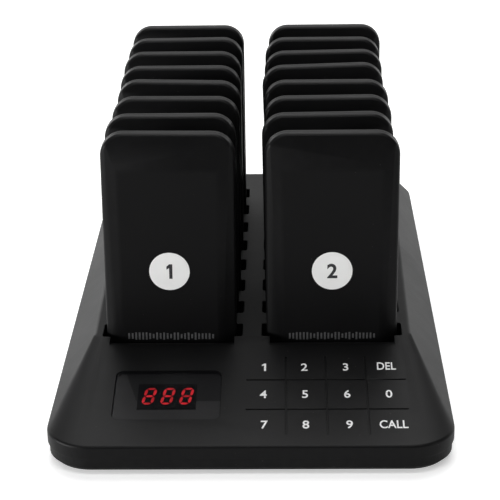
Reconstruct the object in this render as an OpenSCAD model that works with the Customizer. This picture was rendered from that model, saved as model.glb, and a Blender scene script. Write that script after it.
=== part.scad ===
// Guest paging set: a charging and transmitting base with sixteen coaster pagers
// parked upright in it. Millimetres. +Z up, the apron faces -Y, and the origin is
// on the floor under the middle of the base.

/* [Base] */
// Overall width of the base
base_w = 152.5; // [142:0.5:200]
// Depth of the apron in plan, from the front edge to the deck
apron_l = 65.6; // [60:0.5:90]
// Depth of the rear slope in plan
rear_l = 21.5; // [14:0.5:40]
// Height of the upright band round the base, over the feet
band_h = 10.9; // [9:0.1:13]
// Height of the joint between the housings, over the feet
seam_h = 5.6; // [5.2:0.1:6.5]
// Height of the deck, over the feet
deck_h = 23.9; // [21:0.1:30]
// Radius of the base's corners in plan
corner_r = 17.5; // [8:0.5:24]
// Width of the deck at its front edge
deck_front_w = 125.4; // [123:0.5:134]
// Width of the deck at its rear edge
deck_rear_w = 132; // [124:0.5:138]
// Wall thickness of both housings
wall = 2.2; // [1.6:0.1:2.8]

/* [Pagers] */
// Width of a pager
pager_w = 52; // [42:0.5:53]
// Height of a pager
pager_h = 100; // [80:1:120]
// How far the front panel stands from the middle of the edge rim
panel_front = 6.2; // [5:0.1:6.4]
// How far the rear panel stands from the middle of the edge rim
panel_rear = 4.1; // [3.6:0.1:4.6]
// Thickness of the edge rim
rim_t = 5.5; // [4.5:0.1:6.4]
// Corner radius of a pager
pager_r = 9; // [5:0.5:14]
// Width of the side bevels
bevel_side = 6.3; // [4:0.1:9]
// Height of the top and bottom bevels
bevel_top = 13.5; // [8:0.5:18]
// Wall thickness of the pager covers
cover_t = 1.6; // [1.2:0.1:1.8]

/* [Parking] */
// Distance between one pager and the next
pitch = 22.04; // [20:0.05:26]
// Distance between the middles of the two columns
column_gap = 63.5; // [62.5:0.1:65]
// Play round a pager in its pocket, front and back
pocket_play_y = 0.6; // [0.4:0.1:1]
// Play at each end of a pocket
pocket_play_x = 1.8; // [0.8:0.1:2]
// How deep a pager sits below the deck
pocket_depth = 16.9; // [15.4:0.1:17]
// From the deck's front edge to the middle of the first pager's rim
deck_front = 7.5; // [7.3:0.1:14]
// From the middle of the last pager's rim to the deck's rear edge
deck_rear = 26.1; // [10:0.1:50]

/* [Panel] */
// Width of the display window
window_w = 40.6; // [36:0.2:44]
// Length of the display window up the slope
window_l = 29.2; // [26:0.2:32]
// Thickness of the window
window_t = 1.5; // [1:0.1:1.8]
// Distance between the keys across the panel
key_w = 15.35; // [14:0.05:15.8]
// Distance between the keys up the slope
key_l = 17.75; // [15:0.05:18]
// Width of the grooves between the keys
groove_w = 0.7; // [0.3:0.1:0.8]
// Depth of the grooves between the keys
groove_d = 0.4; // [0.2:0.1:0.6]

/* [Front scoops] */
// How far the scoop in front of a first pocket runs down the apron
scoop_l = 7; // [4:0.5:9]
// Depth of the scoop at the pocket
scoop_d = 3.6; // [2:0.1:4]

/* [Fixings] */
// Height of the rubber feet under the base
foot_h = 1.5; // [1:0.1:3]
// Radius of a foot
foot_r = 6; // [4:0.5:7]
// Radius of the housing screws' shanks
screw_r = 1.4; // [1.2:0.1:1.6]
// Gap between pieces that sit side by side
fit = 0.15; // [0.1:0.05:0.25]
// Gap between pieces that rest on one another
seat = 0.05; // [0.02:0.01:0.08]

/* [Hidden] */
$fn = 64;
rows = 8;
eps = 0.01;
// Whole base, in plan and in height.
deck_l = deck_front + (rows - 1) * pitch + deck_rear;
base_l = apron_l + deck_l + rear_l;
front_y = -base_l / 2;
deck_y0 = front_y + apron_l;
deck_y1 = deck_y0 + deck_l;
seam_z = foot_h + seam_h;
band_z = foot_h + band_h;
deck_z = foot_h + deck_h;
apron_a = atan2(deck_h - band_h, apron_l);
deck_edge_r = 4;
lower_in = 0.7;
lower_toe = 2.5;
// Pagers and pockets.
pager_t = panel_front + panel_rear;
first_y = deck_y0 + deck_front;
pocket_l = pager_w + 2 * pocket_play_x;
pocket_t = pager_t + 2 * pocket_play_y;
pocket_y = (panel_rear - panel_front) / 2;
pocket_z = deck_z - pocket_depth;
pocket_wall = 1.5;
pager_z = pocket_z + seat;
lip_t = 1;
lip_d = 1.4;
lip_root = 0.6;
column_x = [-column_gap / 2, column_gap / 2];
// How each pager happens to stand within its pocket's play: how far it is to the right,
// and by how many degrees it leans to the left.
stand_x = [-0.7, 0, -0.2, -0.4, 0.1, -0.1, -0.9, -0.8, 0.3, 0.7, -0.1, 0.1, 0.9, -1, 0.3, 0.3];
stand_lean = [-0.5, 0, 0, 0.6, -0.4, 0.4, -1.2, 0, 0, 1.6, 0, 0.8, 0.5, 0, 0, 0];
// Scoops, a little narrower than a pager, with plastic behind them.
scoop_w = pager_w - 2.6;
scoop_y = first_y + pocket_y - pocket_t / 2;
scoop_back = 1.6;
// Charging contacts, in a pager's own coordinates.
tab_x = 8;
tab_y = -0.2;
tab_w = 3.2;
tab_t = 0.6;
stud_r = 1.1;
stem_r = 0.8;
// Boards.
board_t = 1.6;
floor_t = 2;
floor_z = foot_h + floor_t;
board_z = pocket_z - pocket_wall - seat - board_t;
board_top = board_z + board_t;
charge_w = 40;
charge_l = (rows - 1) * pitch + 18;
main_l = 52;
main_w = 104;
main_y = front_y + 9;
peg_r = 1.6;
peg_foot_r = 2.6;
// Panel pieces, in apron coordinates: x across, y up the slope from its lower edge.
window_x = -31.7;
window_y = 30.4;
window_r = 3;
ledge = 2;
lens_drop = 0.2;
keys_x = 28.75;
keys_y = 30.2;
keys_w = 61.1;
keys_h = 46.6;
module_w = 22.4;
module_l = 14;
module_t = 6.2;
module_x = -31.9;
module_y = 31.8;
module_drop = window_t + lens_drop + 2 * seat;
mask_t = 0.8;
mask_drop = 3.2;
touch_w = 63;
touch_l = 50;
touch_t = 1.2;
touch_drop = wall + 2 * seat;
leg_r = 0.4;
// Screws and feet.
boss_r = 3.6;
head_r = 2.9;
head_t = 1.8;
head_gap = 0.3;
head_z = foot_h + 0.5;
screw_top = band_z + 1;
side_x = base_w / 2 - 9.2;
corner_x = base_w / 2 - 11.25;
screw_at = [[corner_x, front_y + 16], [side_x, front_y + 92],
  [side_x, -front_y - 95], [corner_x, -front_y - 12]];
foot_in = 24;
foot_seat = 0.8;
// Power inlet.
inlet_x = 30;
inlet_w = 9;
inlet_l = 11.5;
inlet_h = 6.8;
inlet_z = foot_h + 5.7;
inlet_r = 3.4;
inlet_gap = 0.25;

// ---- shapes used by several pieces ----

// A rectangle with round corners, in plan.
module outline(w, l, r) {
  square([w - 2 * r, l], center = true);
  square([w, l - 2 * r], center = true);
  for (x = [-1, 1]) {
    for (y = [-1, 1]) {
      translate([x * (w / 2 - r), y * (l / 2 - r)]) circle(r);
    }
  }
}

module plate(w, l, r, h) {
  linear_extrude(h) outline(w, l, r);
}

module deck_corners(inset) {
  front_x = deck_front_w / 2 - deck_edge_r - inset * 0.45;
  rear_x = deck_rear_w / 2 - deck_edge_r - inset * 0.45;
  y0 = deck_y0 + deck_edge_r + inset * tan(apron_a / 2);
  y1 = deck_y1 - deck_edge_r - inset * 0.3;
  for (x = [-1, 1]) {
    translate([x * front_x, y0]) circle(deck_edge_r);
    translate([x * rear_x, y1]) circle(deck_edge_r);
  }
}

// The outside of the upper housing, or its inside when drawn smaller by inset.
module housing_form(inset, low) {
  edge_drop = inset * (1 / cos(apron_a) - tan(apron_a));
  hull() {
    translate([0, 0, low])
      plate(base_w - 2 * inset, base_l - 2 * inset, corner_r - inset, band_z - edge_drop - low);
    translate([0, 0, deck_z - inset - eps]) linear_extrude(eps) deck_corners(inset);
  }
}

// Puts its children on the apron: x across, y up the slope, z out of the surface.
module on_apron() {
  translate([0, front_y, band_z]) rotate([apron_a, 0, 0]) children();
}

// Puts its children at the middle of every pocket.
module at_pockets() {
  for (x = column_x) {
    for (i = [0 : rows - 1]) {
      translate([x, first_y + i * pitch + pocket_y, 0]) children();
    }
  }
}

// Puts its children at every charging contact.
module at_contacts() {
  at_pockets() {
    for (x = [-1, 1]) {
      translate([x * tab_x, tab_y - pocket_y, 0]) children();
    }
  }
}

module at_screws() {
  for (x = [-1, 1]) {
    for (p = screw_at) {
      translate([x * p[0], p[1], 0]) children();
    }
  }
}

module at_feet() {
  for (x = [-1, 1]) {
    for (y = [-1, 1]) {
      translate([x * (base_w / 2 - foot_in), y * (base_l / 2 - foot_in), 0]) children();
    }
  }
}

// Pegs that hold the boards, clear of the pockets.
module at_pegs() {
  for (x = [-1, 1]) {
    for (y = [4, main_l - 4]) {
      translate([x * (main_w / 2 - 4), main_y + y, 0]) children();
    }
  }
  for (x = column_x) {
    for (i = [1, 4, 7]) {
      translate([x, first_y + (i - 0.5) * pitch + pocket_y, 0]) children();
    }
  }
}

// The round opening for the power inlet, through both housings' rear walls.
module inlet_opening() {
  translate([inlet_x, -front_y - 2 * wall, inlet_z]) rotate([-90, 0, 0])
    cylinder(r = inlet_r + inlet_gap, h = 4 * wall);
}

// ---- base ----

module key_grooves() {
  for (i = [-1, 0, 1]) {
    translate([keys_x + i * key_w - groove_w / 2, keys_y - keys_h / 2, -groove_d])
      cube([groove_w, keys_h, 2 * groove_d]);
  }
  for (i = [-0.5, 0.5]) {
    translate([keys_x - keys_w / 2, keys_y + i * key_l - groove_w / 2, -groove_d])
      cube([keys_w, groove_w, 2 * groove_d]);
  }
}

// The hollow in the apron before the first pocket of each column. Its floor leaves the
// apron smoothly and steepens toward the pocket.
module scoops() {
  steps = 8;
  far = scoop_y - scoop_l;
  floor_line = [for (i = [0 : steps])
    let(y = far + i * scoop_l / steps)
    [y, min(deck_z, band_z + (y - front_y) * tan(apron_a)) - scoop_d * pow(i / steps, 2)]];
  for (x = column_x) {
    translate([x - scoop_w / 2, 0, 0]) rotate([90, 0, 90]) linear_extrude(scoop_w)
      polygon(concat(floor_line, [[scoop_y + 1, deck_z - scoop_d], [scoop_y + 1, deck_z + 1],
        [far, deck_z + 1]]));
  }
}

// Plastic under the scoops.
module scoop_blocks() {
  low = scoop_d + scoop_back;
  for (x = column_x) {
    translate([x - scoop_w / 2 - scoop_back, scoop_y - scoop_l + 1, deck_z - low])
      cube([scoop_w + 2 * scoop_back, scoop_l, low]);
  }
}

module base_upper_housing() {
  box_l = pocket_l + 2 * pocket_wall;
  box_t = pocket_t + 2 * pocket_wall;
  box_z = pocket_z - pocket_wall;
  color([0.13, 0.13, 0.135]) difference() {
    union() {
      difference() {
        housing_form(0, seam_z);
        housing_form(wall, seam_z - 1);
      }
      at_pockets() translate([-box_l / 2, -box_t / 2, box_z])
        cube([box_l, box_t, deck_z - wall / 2 - box_z]);
      intersection() {
        union() {
          at_screws() translate([0, 0, seam_z]) cylinder(r = boss_r, h = deck_h);
          scoop_blocks();
        }
        housing_form(wall / 2, seam_z);
      }
    }
    scoops();
    at_pockets() translate([0, 0, pocket_z]) plate(pocket_l, pocket_t, 1, deck_h);
    at_contacts() translate([0, 0, box_z - 1]) cylinder(r = stud_r + fit, h = pocket_wall + 2);
    at_screws() translate([0, 0, seam_z - 1]) cylinder(r = screw_r + seat, h = screw_top - seam_z + 1);
    on_apron() {
      translate([window_x, window_y, -window_t - lens_drop])
        plate(window_w + 2 * fit, window_l + 2 * fit, window_r + fit, 2 * window_t);
      translate([window_x, window_y, -2 * wall])
        plate(window_w - 2 * ledge, window_l - 2 * ledge, window_r - fit, 2 * wall);
      key_grooves();
    }
    inlet_opening();
  }
}

module base_lower_housing() {
  color([0.1, 0.1, 0.105]) difference() {
    union() {
      difference() {
        hull() {
          translate([0, 0, foot_h])
            plate(base_w - 2 * lower_toe, base_l - 2 * lower_toe, corner_r - lower_toe, eps);
          translate([0, 0, foot_h + lower_toe - lower_in])
            plate(base_w - 2 * lower_in, base_l - 2 * lower_in, corner_r - lower_in,
              seam_h - lower_toe + lower_in);
        }
        translate([0, 0, floor_z])
          plate(base_w - 2 * (lower_in + wall), base_l - 2 * (lower_in + wall),
            corner_r - lower_in - wall, seam_h);
      }
      at_screws() translate([0, 0, foot_h + 1]) cylinder(r = boss_r, h = seam_h - 1);
      at_pegs() translate([0, 0, floor_z - 1]) {
        cylinder(r = peg_foot_r, h = board_z - seat - floor_z + 1);
        cylinder(r = peg_r, h = board_top + 1 - floor_z + 1);
      }
    }
    at_screws() {
      cylinder(r = screw_r + head_gap, h = deck_h);
      cylinder(r = head_r + head_gap, h = head_z + head_t + seat);
    }
    at_feet() cylinder(r = foot_r + fit, h = foot_h + foot_seat + seat);
    inlet_opening();
  }
}

module display_window() {
  color([0.05, 0.05, 0.055]) on_apron() translate([window_x, window_y, seat - window_t - lens_drop])
    plate(window_w, window_l, window_r, window_t);
}

// A block for three digits with a mask plate round it, and legs down to the main board.
module display_module() {
  leg_pitch = 2.54;
  leg_row = 5;
  leg_h = 6;
  color([0.16, 0.16, 0.17]) union() {
    on_apron() translate([module_x - module_w / 2, module_y - module_l / 2, -module_drop - module_t])
      cube([module_w, module_l, module_t]);
    on_apron() translate([window_x, window_y, -mask_drop - mask_t])
      plate(window_w - 2 * ledge - 2 * fit, window_l - 2 * ledge - 2 * fit,
        window_r - 2 * fit, mask_t);
    for (i = [-2 : 2]) {
      for (y = [-1, 1]) {
        translate([module_x + i * leg_pitch, front_y + module_y * cos(apron_a) + y * leg_row,
          board_top + seat]) cylinder(r = leg_r, h = leg_h, $fn = 16);
      }
    }
  }
}

// The key sensor board, up under the apron, and the header that joins it to the main board.
module touch_board() {
  header_w = 24;
  header_t = 2.5;
  header_in = 28;
  under = band_z + header_in * tan(apron_a) - (touch_drop + touch_t / 2) / cos(apron_a);
  color([0.05, 0.22, 0.1]) union() {
    on_apron() translate([keys_x - touch_w / 2, keys_y - touch_l / 2, -touch_drop - touch_t])
      cube([touch_w, touch_l, touch_t]);
    translate([keys_x - header_w / 2, front_y + header_in, board_top + seat])
      cube([header_w, header_t, under - board_top - seat]);
  }
}

module main_board() {
  chip_t = 1.4;
  can_t = 2.6;
  color([0.05, 0.22, 0.1]) difference() {
    union() {
      translate([-main_w / 2, main_y, board_z]) cube([main_w, main_l, board_t]);
      translate([-8, main_y + 28, board_z]) cube([12, 12, board_t + chip_t]);
      translate([8, main_y + 38, board_z]) cube([10, 6, board_t + chip_t]);
      translate([36, main_y + 4, board_z]) cube([9, 7, board_t + chip_t]);
      translate([-50, main_y + 30, board_z]) cube([22, 13, board_t + can_t]);
    }
    at_pegs() translate([0, 0, board_z - 1]) cylinder(r = peg_r + fit, h = board_t + 2);
  }
}

module charging_boards() {
  color([0.05, 0.22, 0.1]) difference() {
    for (x = column_x) {
      translate([x - charge_w / 2, first_y + pocket_y - 9, board_z]) cube([charge_w, charge_l, board_t]);
    }
    at_pegs() translate([0, 0, board_z - 1]) cylinder(r = peg_r + fit, h = board_t + 2);
    at_contacts() translate([0, 0, board_z - 1]) cylinder(r = stem_r + seat, h = board_t + 2);
  }
}

// Each stud has a stem through the board and a shoulder on it, and its tip is flush
// with the pocket's floor.
module charging_studs() {
  color([0.75, 0.6, 0.3]) at_contacts() {
    translate([0, 0, board_z - 0.6]) cylinder(r = stem_r, h = board_t + 1);
    translate([0, 0, board_top + seat / 2]) cylinder(r = stud_r, h = pocket_z - board_top - seat / 2);
  }
}

// A rod along the front of the base, carried by a block on the main board.
module aerial() {
  rod_r = 1;
  rod_l = 46;
  rod_y = front_y + 6;
  rod_z = board_top + 2;
  block_x = -31;
  color([0.7, 0.55, 0.3]) union() {
    translate([block_x - 2, main_y + 1, board_top + seat]) cube([4, 5, 3]);
    translate([block_x, rod_y, rod_z]) rotate([-90, 0, 0])
      cylinder(r = rod_r, h = main_y + 3 - rod_y, $fn = 24);
    translate([block_x - rod_l / 2, rod_y, rod_z]) rotate([0, 90, 0])
      cylinder(r = rod_r, h = rod_l, $fn = 24);
  }
}

// A barrel opening with a centre pin, behind the rear wall.
module power_inlet() {
  back_y = -front_y - wall - lower_in - fit;
  barrel_r = 2.8;
  pin_r = 1;
  color([0.08, 0.08, 0.08]) union() {
    difference() {
      union() {
        translate([inlet_x - inlet_w / 2, back_y - inlet_l, floor_z + seat])
          cube([inlet_w, inlet_l, inlet_h]);
        translate([inlet_x, back_y - 1, inlet_z]) rotate([-90, 0, 0])
          cylinder(r = inlet_r, h = wall + lower_in + 1);
      }
      translate([inlet_x, back_y - inlet_l + 2, inlet_z]) rotate([-90, 0, 0])
        cylinder(r = barrel_r, h = 2 * inlet_l);
    }
    translate([inlet_x, back_y - inlet_l + 1, inlet_z]) rotate([-90, 0, 0])
      cylinder(r = pin_r, h = inlet_l);
  }
}

module housing_screws() {
  slot_w = 0.7;
  slot_l = 3.6;
  color([0.5, 0.5, 0.52]) at_screws() difference() {
    translate([0, 0, head_z]) {
      cylinder(r = head_r, h = head_t);
      cylinder(r = screw_r, h = screw_top - 0.5 - head_z);
    }
    for (a = [0, 90]) {
      rotate(a) translate([-slot_l / 2, -slot_w / 2, head_z - 1]) cube([slot_l, slot_w, 2]);
    }
  }
}

module rubber_feet() {
  color([0.07, 0.07, 0.07]) at_feet() cylinder(r = foot_r, h = foot_h + foot_seat);
}

// ---- pagers ----

// Half a pager, lying on its split plane: x across, y up the pager, z outwards. It
// starts low under the plane, rises straight to rim and then slopes in to deep.
module half_form(w, h, r, rim, deep, low) {
  far = 200;
  intersection() {
    translate([0, h / 2, -low]) plate(w, h, r, deep + low);
    translate([0, far, 0]) rotate([90, 0, 0]) linear_extrude(2 * far)
      polygon([[-w / 2, -2], [w / 2, -2], [w / 2, rim], [w / 2 - bevel_side, deep],
        [bevel_side - w / 2, deep], [-w / 2, rim]]);
    translate([-far, 0, 0]) rotate([90, 0, 90]) linear_extrude(2 * far)
      polygon([[0, -2], [h, -2], [h, rim], [h - bevel_top, deep], [bevel_top, deep], [0, rim]]);
  }
}

module half_shell(deep) {
  difference() {
    half_form(pager_w, pager_h, pager_r, rim_t / 2, deep, 0);
    translate([0, cover_t, 0])
      half_form(pager_w - 2 * cover_t, pager_h - 2 * cover_t, pager_r - cover_t,
        rim_t / 2 - 0.4 * cover_t, deep - cover_t, 1);
  }
}

// The slots in the bottom edge for the charging tabs.
module tab_slots() {
  for (x = [-1, 1]) {
    translate([x * tab_x - tab_w / 2 - fit, tab_y - tab_t / 2 - fit, -1])
      cube([tab_w + 2 * fit, tab_t + 2 * fit, cover_t + fit + lip_t + 2]);
  }
}

module front_cover() {
  color([0.085, 0.085, 0.09]) difference() {
    rotate([90, 0, 0]) half_shell(panel_front);
    tab_slots();
  }
}

// The rear cover's lip goes inside the front cover's rim.
module rear_cover() {
  lip_in = cover_t + fit;
  root_in = cover_t / 2;
  bore_in = lip_in + lip_t;
  color([0.085, 0.085, 0.09]) difference() {
    union() {
      rotate([90, 0, 180]) half_shell(panel_rear);
      translate([0, 0, pager_h / 2]) rotate([90, 0, 0]) difference() {
        union() {
          translate([0, 0, -lip_root]) plate(pager_w - 2 * root_in, pager_h - 2 * root_in,
            pager_r - root_in, lip_root);
          plate(pager_w - 2 * lip_in, pager_h - 2 * lip_in, pager_r - lip_in, lip_d);
        }
        translate([0, 0, -lip_root - 1]) plate(pager_w - 2 * bore_in, pager_h - 2 * bore_in,
          pager_r - bore_in, lip_d + lip_root + 2);
      }
    }
    tab_slots();
  }
}

// The circuit board with its tabs, and the cell, motor and lamps clear of it.
module works() {
  inside = cover_t + fit + lip_t + 1;
  pcb_w = pager_w - 2 * inside;
  pcb_h = pager_h - 2 * inside;
  pcb_t = 1;
  pcb_y = -0.4;
  parts_y = pcb_y - pcb_t - seat;
  lamp_in = 5;
  lamp_gap = 2.25;
  motor_gap = 0.25;
  cell_w = pcb_w - 2 * (lamp_in + lamp_gap);
  cell_h = 24;
  cell_z = 20;
  motor_r = 5;
  motor_x = lamp_in + motor_r + motor_gap - pcb_w / 2;
  motor_z = 53;
  color([0.06, 0.25, 0.12]) {
    difference() {
      translate([0, pcb_y, pager_h / 2]) rotate([90, 0, 0]) plate(pcb_w, pcb_h, 4, pcb_t);
      translate([motor_x, -5, motor_z]) rotate([-90, 0, 0]) cylinder(r = motor_r + 1, h = 9);
    }
    translate([-cell_w / 2, parts_y - 2.6, cell_z]) cube([cell_w, 2.6, cell_h]);
    translate([motor_x, -2.6, motor_z]) rotate([-90, 0, 0]) cylinder(r = motor_r, h = 3.4);
    for (x = [-1, 1]) {
      for (z = [26, 50, pager_h - 18]) {
        translate([x * (pcb_w / 2 - lamp_in + 1.5) - 1.5, parts_y - 1.2, z]) cube([3, 1.2, 3]);
      }
      translate([x * tab_x - tab_w / 2, tab_y - tab_t / 2, 0]) cube([tab_w, tab_t, inside + 6]);
    }
  }
}

// Stands its children at parking place n, counted from the front, left before right.
// A pager that leans stands on the round of one bottom corner.
module at_place(n) {
  lean = stand_lean[n - 1];
  lift = (pager_w / 2 - pager_r) * abs(sin(lean)) + pager_r * (1 - cos(lean));
  translate([column_x[(n - 1) % 2] + stand_x[n - 1], first_y + floor((n - 1) / 2) * pitch,
    pager_z + lift]) rotate([0, -lean, 0]) children();
}

base_upper_housing();
base_lower_housing();
display_window();
display_module();
touch_board();
main_board();
charging_boards();
charging_studs();
aerial();
power_inlet();
housing_screws();
rubber_feet();
at_place(1) front_cover();  // pager_01_front_cover
at_place(1) rear_cover();  // pager_01_rear_cover
at_place(1) works();  // pager_01_works
at_place(2) front_cover();  // pager_02_front_cover
at_place(2) rear_cover();  // pager_02_rear_cover
at_place(2) works();  // pager_02_works
at_place(3) front_cover();  // pager_03_front_cover
at_place(3) rear_cover();  // pager_03_rear_cover
at_place(3) works();  // pager_03_works
at_place(4) front_cover();  // pager_04_front_cover
at_place(4) rear_cover();  // pager_04_rear_cover
at_place(4) works();  // pager_04_works
at_place(5) front_cover();  // pager_05_front_cover
at_place(5) rear_cover();  // pager_05_rear_cover
at_place(5) works();  // pager_05_works
at_place(6) front_cover();  // pager_06_front_cover
at_place(6) rear_cover();  // pager_06_rear_cover
at_place(6) works();  // pager_06_works
at_place(7) front_cover();  // pager_07_front_cover
at_place(7) rear_cover();  // pager_07_rear_cover
at_place(7) works();  // pager_07_works
at_place(8) front_cover();  // pager_08_front_cover
at_place(8) rear_cover();  // pager_08_rear_cover
at_place(8) works();  // pager_08_works
at_place(9) front_cover();  // pager_09_front_cover
at_place(9) rear_cover();  // pager_09_rear_cover
at_place(9) works();  // pager_09_works
at_place(10) front_cover();  // pager_10_front_cover
at_place(10) rear_cover();  // pager_10_rear_cover
at_place(10) works();  // pager_10_works
at_place(11) front_cover();  // pager_11_front_cover
at_place(11) rear_cover();  // pager_11_rear_cover
at_place(11) works();  // pager_11_works
at_place(12) front_cover();  // pager_12_front_cover
at_place(12) rear_cover();  // pager_12_rear_cover
at_place(12) works();  // pager_12_works
at_place(13) front_cover();  // pager_13_front_cover
at_place(13) rear_cover();  // pager_13_rear_cover
at_place(13) works();  // pager_13_works
at_place(14) front_cover();  // pager_14_front_cover
at_place(14) rear_cover();  // pager_14_rear_cover
at_place(14) works();  // pager_14_works
at_place(15) front_cover();  // pager_15_front_cover
at_place(15) rear_cover();  // pager_15_rear_cover
at_place(15) works();  // pager_15_works
at_place(16) front_cover();  // pager_16_front_cover
at_place(16) rear_cover();  // pager_16_rear_cover
at_place(16) works();  // pager_16_works
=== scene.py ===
# Guest paging set: a charging and transmitting base with sixteen coaster pagers.
# Everything is in metres in the CAD frame: +Z up, the apron faces -Y.
import math

import bmesh
import bpy
from mathutils import Matrix, Vector


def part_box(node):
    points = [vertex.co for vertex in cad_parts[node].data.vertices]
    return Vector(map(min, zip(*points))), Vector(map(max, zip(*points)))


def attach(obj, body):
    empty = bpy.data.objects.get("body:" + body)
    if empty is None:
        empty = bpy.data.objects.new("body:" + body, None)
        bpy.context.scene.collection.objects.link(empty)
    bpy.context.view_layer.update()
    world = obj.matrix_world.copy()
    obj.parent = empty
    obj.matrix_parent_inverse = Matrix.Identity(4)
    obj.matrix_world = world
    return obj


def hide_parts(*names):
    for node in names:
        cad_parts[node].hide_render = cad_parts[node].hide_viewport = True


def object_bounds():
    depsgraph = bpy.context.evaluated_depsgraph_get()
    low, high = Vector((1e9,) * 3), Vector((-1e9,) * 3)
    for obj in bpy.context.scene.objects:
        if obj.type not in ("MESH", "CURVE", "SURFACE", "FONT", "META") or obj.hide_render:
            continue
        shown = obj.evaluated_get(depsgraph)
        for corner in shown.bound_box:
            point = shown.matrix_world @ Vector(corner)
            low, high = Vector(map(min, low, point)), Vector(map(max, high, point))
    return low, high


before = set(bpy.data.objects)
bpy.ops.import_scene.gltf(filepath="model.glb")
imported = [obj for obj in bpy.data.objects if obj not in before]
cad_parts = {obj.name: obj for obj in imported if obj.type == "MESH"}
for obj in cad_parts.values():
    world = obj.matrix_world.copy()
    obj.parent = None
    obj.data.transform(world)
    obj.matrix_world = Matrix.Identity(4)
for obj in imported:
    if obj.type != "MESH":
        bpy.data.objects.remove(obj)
cad_low, cad_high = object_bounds()

MM = 0.001
PAGERS = range(1, 17)
PAGER_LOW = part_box("pager_02_front_cover")[0]
PAGER_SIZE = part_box("pager_02_rear_cover")[1] - PAGER_LOW
PAGER_CORNER = 9.0 * MM
PANEL_FRONT = 6.2 * MM
PANEL_RISE = 13.5 * MM
HOUSING_LOW, HOUSING_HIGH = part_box("base_upper_housing")
APRON_EDGE_Z = HOUSING_HIGH.z - 13.0 * MM
APRON_DEPTH = 65.6 * MM
DECK_FRONT_Y = HOUSING_LOW.y + APRON_DEPTH + 0.3 * MM
DECK_REAR_Y = HOUSING_HIGH.y - 22.5 * MM
LOWER_HIGH_Z = 7.1 * MM
WINDOW_X = -31.7 * MM
WINDOW_Y = 30.4 * MM
WINDOW_W = 40.6 * MM
WINDOW_L = 29.2 * MM
APRON_ANGLE = math.atan2(HOUSING_HIGH.z - APRON_EDGE_Z, APRON_DEPTH)
MASK_DROP = 1.69 * MM       # the sheet under the lens, which carries painted shade, below the apron's face
DIGITS_DROP = 1.8 * MM      # the digit block's face, below the apron's face
DIGITS_X = -31.6 * MM
DIGITS_Y = 31.6 * MM
DECK_SIDE_X = 60.5 * MM     # between the outer pockets and the deck's sides
POCKETS_SIDE_X = 60.0 * MM
SKIRT_CORNER = 18.0 * MM
KEY_FIELD_X = (-2.5 * MM, 60.0 * MM)
KEY_FIELD_Y = (6.0 * MM, 54.0 * MM)
KEY_LEGEND_HEIGHT = 4.6 * MM
LABEL_RISE = 31.0 * MM      # the label's middle, above the panel's lower edge
MARKS_RISE = 2.9 * MM
NUMBER_HEIGHT = 6.2 * MM
PRINT_THICKNESS = 0.03 * MM
NEAR = 0.02 * MM            # a point this close to a face lies on it
NEAR_CURVE = 0.05 * MM      # the same, along a curve made of short flats
NEAR_RIM = 0.06 * MM


# ---- node helpers ----

def add(tree, kind, inputs=None, **settings):
    """A new node with its settings, and with values or links put into its inputs."""
    node = tree.nodes.new(kind)
    for name, value in settings.items():
        setattr(node, name, value)
    for name, value in (inputs or {}).items():
        if isinstance(value, bpy.types.NodeSocket):
            tree.links.new(value, node.inputs[name])
        else:
            node.inputs[name].default_value = value
    return node


def new_group(name, kind, inputs, outputs):
    tree = bpy.data.node_groups.new(name, kind)
    for label, socket_type, value in inputs:
        socket = tree.interface.new_socket(label, in_out="INPUT", socket_type=socket_type)
        if value is not None:
            socket.default_value = value
    for label, socket_type in outputs:
        tree.interface.new_socket(label, in_out="OUTPUT", socket_type=socket_type)
    return tree, tree.nodes.new("NodeGroupInput").outputs, tree.nodes.new("NodeGroupOutput").inputs


def math_node(tree, operation, a, b=0.0, clamp=False):
    return add(tree, "ShaderNodeMath", {0: a, 1: b}, operation=operation, use_clamp=clamp).outputs[0]


def times_plus(tree, value, factor, base):
    """value * factor + base"""
    result = math_node(tree, "MULTIPLY_ADD", value, factor)
    result.node.inputs[2].default_value = base
    return result


def object_place(tree):
    return add(tree, "ShaderNodeTexCoord").outputs["Object"]


# ---- effects that several finishes share ----

def make_moulded_grain():
    """The fine spark-eroded texture of a mould, and slow changes of tone across a wall."""
    tree, given, out = new_group(
        "moulded_grain", "ShaderNodeTree",
        [("Grain per metre", "NodeSocketFloat", 2400.0), ("Patch per metre", "NodeSocketFloat", 30.0)],
        [("Height", "NodeSocketFloat"), ("Tone", "NodeSocketFloat")])
    place = object_place(tree)
    fine = add(tree, "ShaderNodeTexNoise",
               {"Vector": place, "Scale": given[0], "Detail": 3.0, "Roughness": 0.6})
    coarse = add(tree, "ShaderNodeTexVoronoi",
                 {"Vector": place, "Scale": math_node(tree, "MULTIPLY", given[0], 0.55)}, feature="SMOOTH_F1")
    height = math_node(tree, "MULTIPLY", fine.outputs[0], 0.6)
    height = math_node(tree, "ADD", height, math_node(tree, "MULTIPLY", coarse.outputs[0], 0.4))
    slow = add(tree, "ShaderNodeTexNoise", {"Vector": place, "Scale": given[1], "Detail": 4.0})
    tone = add(tree, "ShaderNodeMapRange", {"Value": slow.outputs[0], "From Min": 0.3, "From Max": 0.7})
    tree.links.new(height, out[0])
    tree.links.new(tone.outputs[0], out[1])
    return tree


def make_edge_wear():
    """A mask that is strong on outside edges and broken up along them."""
    tree, given, out = new_group(
        "edge_wear", "ShaderNodeTree",
        [("Break-up per metre", "NodeSocketFloat", 350.0)], [("Mask", "NodeSocketFloat")])
    point = add(tree, "ShaderNodeNewGeometry").outputs["Pointiness"]
    edge = add(tree, "ShaderNodeMapRange", {"Value": point, "From Min": 0.505, "From Max": 0.56})
    place = object_place(tree)
    patch = add(tree, "ShaderNodeTexNoise", {"Vector": place, "Scale": given[0], "Detail": 5.0})
    broken = add(tree, "ShaderNodeMapRange", {"Value": patch.outputs[0], "From Min": 0.35, "From Max": 0.65})
    tree.links.new(math_node(tree, "MULTIPLY", edge.outputs[0], broken.outputs[0]), out[0])
    return tree


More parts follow.
